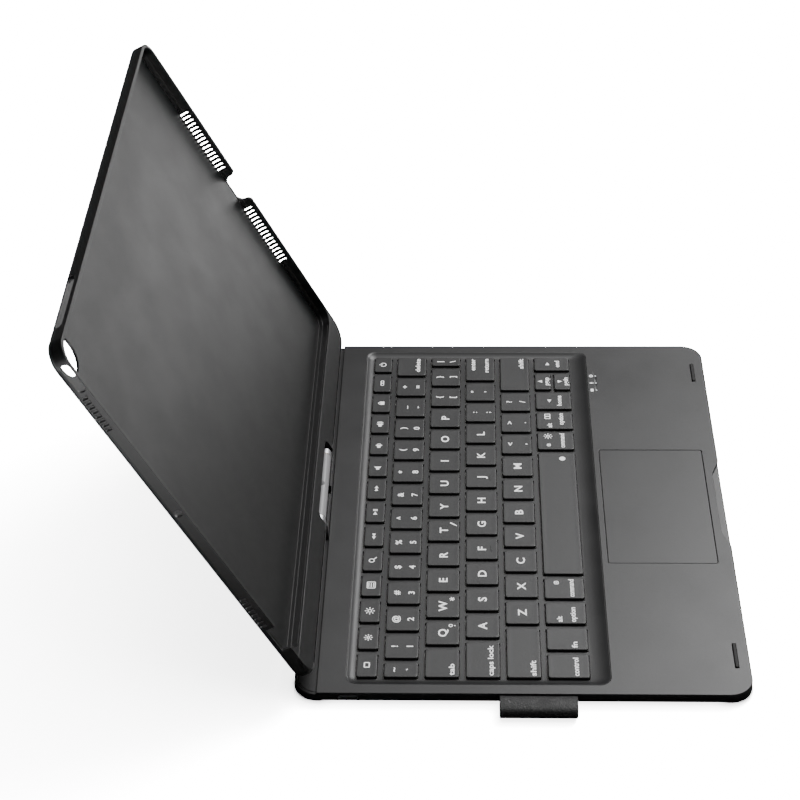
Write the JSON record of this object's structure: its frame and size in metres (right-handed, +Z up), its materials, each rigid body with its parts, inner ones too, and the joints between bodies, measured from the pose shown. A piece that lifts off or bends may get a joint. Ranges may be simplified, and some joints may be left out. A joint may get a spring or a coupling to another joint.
{
  "type": "tablet keyboard case",
  "caption": "Thin backlit keyboard base with trackpad and pen loop; a tablet shell on a central barrel hinge tilts from closed to flat and swivels about.",
  "frame": {"origin": "on the table plane under the feet, below the centre of the base", "axes": "+X to the user's right, +Y away from the user towards the hinge, +Z up"},
  "size_m": [0.2624, 0.2816, 0.1882],
  "materials": {
    "case_plastic": "fine sprayed grain, near-black",
    "key_plastic": "smooth matt coat with white legends",
    "pad_surface": "smooth satin",
    "rubber": "matt",
    "lens": "clear, diffusing",
    "steel": "plain",
    "hinge_metal": "smooth light grey coat",
    "brass": "plain",
    "board": "printed circuit board",
    "dome_rubber": "silicone",
    "cell_foil": "foil pouch",
    "loop_leather": "pebbled grain"
  },
  "bodies": {
    "base": {"lower_casing": "case_plastic", "deck_casing": "case_plastic", "key_frame": "case_plastic", "support_plate": "steel", "light_guide": "lens", "membrane_circuit": "board", "dome_sheet": "dome_rubber", "main_board": "board", "battery_cells": "cell_foil", "click_switch": "steel", "corner_bumpers": "rubber", "rubber_feet": "rubber", "status_lenses": "lens", "charge_port": "steel", "pen_loop": "loop_leather", "casing_screws": "steel", "hinge_bracket": "steel", "bracket_screws": "steel", "hinge_cradle": "case_plastic", "tilt_shaft": "steel", "friction_washers": "brass"},
    "trackpad": {"trackpad": "pad_surface", "trackpad_board": "board"},
    "hinge_head": {"hinge_barrel": "hinge_metal", "swivel_post": "steel", "post_clip": "steel"},
    "shell": {"shell_tray": "case_plastic", "chin_cover": "case_plastic", "swivel_housing": "brass", "housing_screws": "steel", "chin_magnets": "steel"},
    "keys_function": {"keys_function": "key_plastic"},
    "key_power": {"key_power": "key_plastic"},
    "keys_number": {"keys_number": "key_plastic"},
    "key_delete": {"key_delete": "key_plastic"},
    "key_tab": {"key_tab": "key_plastic"},
    "keys_upper": {"keys_upper": "key_plastic"},
    "key_caps_lock": {"key_caps_lock": "key_plastic"},
    "keys_home": {"keys_home": "key_plastic"},
    "key_enter": {"key_enter": "key_plastic"},
    "key_shift_left": {"key_shift_left": "key_plastic"},
    "keys_lower": {"keys_lower": "key_plastic"},
    "key_shift_right": {"key_shift_right": "key_plastic"},
    "key_control": {"key_control": "key_plastic"},
    "key_fn": {"key_fn": "key_plastic"},
    "key_option_left": {"key_option_left": "key_plastic"},
    "key_command_left": {"key_command_left": "key_plastic"},
    "key_space": {"key_space": "key_plastic"},
    "key_command_right": {"key_command_right": "key_plastic"},
    "key_option_right": {"key_option_right": "key_plastic"},
    "key_arrow_left": {"key_arrow_left": "key_plastic"},
    "key_arrow_up": {"key_arrow_up": "key_plastic"},
    "key_arrow_down": {"key_arrow_down": "key_plastic"},
    "key_arrow_right": {"key_arrow_right": "key_plastic"}
  },
  "joints": [
    {"name": "shell_tilt", "type": "hinge", "parent": "base", "child": "hinge_head", "pos_m": [0, 0.09305, 0.015], "axis": [1, 0, 0], "range_deg": [-63, 118]},
    {"name": "shell_swivel", "type": "hinge", "parent": "hinge_head", "child": "shell", "pos_m": [0, 0.09305, 0.015], "axis": [0, 0.454, 0.891], "range_deg": [0, 180]},
    {"name": "trackpad_click", "type": "slide", "parent": "base", "child": "trackpad", "axis": [0, 0, -1], "range_m": [0, 0.00025], "stiffness_N_per_m": 3000, "springref_m": -0.0003},
    {"name": "press_keys_function", "type": "slide", "parent": "base", "child": "keys_function", "axis": [0, 0, -1], "range_m": [0, 0.001], "stiffness_N_per_m": 600, "springref_m": -0.0005},
    {"name": "press_key_power", "type": "slide", "parent": "base", "child": "key_power", "axis": [0, 0, -1], "range_m": [0, 0.001], "stiffness_N_per_m": 600, "springref_m": -0.0005},
    {"name": "press_keys_number", "type": "slide", "parent": "base", "child": "keys_number", "axis": [0, 0, -1], "range_m": [0, 0.001], "stiffness_N_per_m": 600, "springref_m": -0.0005},
    {"name": "press_key_delete", "type": "slide", "parent": "base", "child": "key_delete", "axis": [0, 0, -1], "range_m": [0, 0.001], "stiffness_N_per_m": 600, "springref_m": -0.0005},
    {"name": "press_key_tab", "type": "slide", "parent": "base", "child": "key_tab", "axis": [0, 0, -1], "range_m": [0, 0.001], "stiffness_N_per_m": 600, "springref_m": -0.0005},
    {"name": "press_keys_upper", "type": "slide", "parent": "base", "child": "keys_upper", "axis": [0, 0, -1], "range_m": [0, 0.001], "stiffness_N_per_m": 600, "springref_m": -0.0005},
    {"name": "press_key_caps_lock", "type": "slide", "parent": "base", "child": "key_caps_lock", "axis": [0, 0, -1], "range_m": [0, 0.001], "stiffness_N_per_m": 600, "springref_m": -0.0005},
    {"name": "press_keys_home", "type": "slide", "parent": "base", "child": "keys_home", "axis": [0, 0, -1], "range_m": [0, 0.001], "stiffness_N_per_m": 600, "springref_m": -0.0005},
    {"name": "press_key_enter", "type": "slide", "parent": "base", "child": "key_enter", "axis": [0, 0, -1], "range_m": [0, 0.001], "stiffness_N_per_m": 600, "springref_m": -0.0005},
    {"name": "press_key_shift_left", "type": "slide", "parent": "base", "child": "key_shift_left", "axis": [0, 0, -1], "range_m": [0, 0.001], "stiffness_N_per_m": 600, "springref_m": -0.0005},
    {"name": "press_keys_lower", "type": "slide", "parent": "base", "child": "keys_lower", "axis": [0, 0, -1], "range_m": [0, 0.001], "stiffness_N_per_m": 600, "springref_m": -0.0005},
    {"name": "press_key_shift_right", "type": "slide", "parent": "base", "child": "key_shift_right", "axis": [0, 0, -1], "range_m": [0, 0.001], "stiffness_N_per_m": 600, "springref_m": -0.0005},
    {"name": "press_key_control", "type": "slide", "parent": "base", "child": "key_control", "axis": [0, 0, -1], "range_m": [0, 0.001], "stiffness_N_per_m": 600, "springref_m": -0.0005},
    {"name": "press_key_fn", "type": "slide", "parent": "base", "child": "key_fn", "axis": [0, 0, -1], "range_m": [0, 0.001], "stiffness_N_per_m": 600, "springref_m": -0.0005},
    {"name": "press_key_option_left", "type": "slide", "parent": "base", "child": "key_option_left", "axis": [0, 0, -1], "range_m": [0, 0.001], "stiffness_N_per_m": 600, "springref_m": -0.0005},
    {"name": "press_key_command_left", "type": "slide", "parent": "base", "child": "key_command_left", "axis": [0, 0, -1], "range_m": [0, 0.001], "stiffness_N_per_m": 600, "springref_m": -0.0005},
    {"name": "press_key_space", "type": "slide", "parent": "base", "child": "key_space", "axis": [0, 0, -1], "range_m": [0, 0.001], "stiffness_N_per_m": 600, "springref_m": -0.0005},
    {"name": "press_key_command_right", "type": "slide", "parent": "base", "child": "key_command_right", "axis": [0, 0, -1], "range_m": [0, 0.001], "stiffness_N_per_m": 600, "springref_m": -0.0005},
    {"name": "press_key_option_right", "type": "slide", "parent": "base", "child": "key_option_right", "axis": [0, 0, -1], "range_m": [0, 0.001], "stiffness_N_per_m": 600, "springref_m": -0.0005},
    {"name": "press_key_arrow_left", "type": "slide", "parent": "base", "child": "key_arrow_left", "axis": [0, 0, -1], "range_m": [0, 0.001], "stiffness_N_per_m": 600, "springref_m": -0.0005},
    {"name": "press_key_arrow_up", "type": "slide", "parent": "base", "child": "key_arrow_up", "axis": [0, 0, -1], "range_m": [0, 0.001], "stiffness_N_per_m": 600, "springref_m": -0.0005},
    {"name": "press_key_arrow_down", "type": "slide", "parent": "base", "child": "key_arrow_down", "axis": [0, 0, -1], "range_m": [0, 0.001], "stiffness_N_per_m": 600, "springref_m": -0.0005},
    {"name": "press_key_arrow_right", "type": "slide", "parent": "base", "child": "key_arrow_right", "axis": [0, 0, -1], "range_m": [0, 0.001], "stiffness_N_per_m": 600, "springref_m": -0.0005}
  ]
}
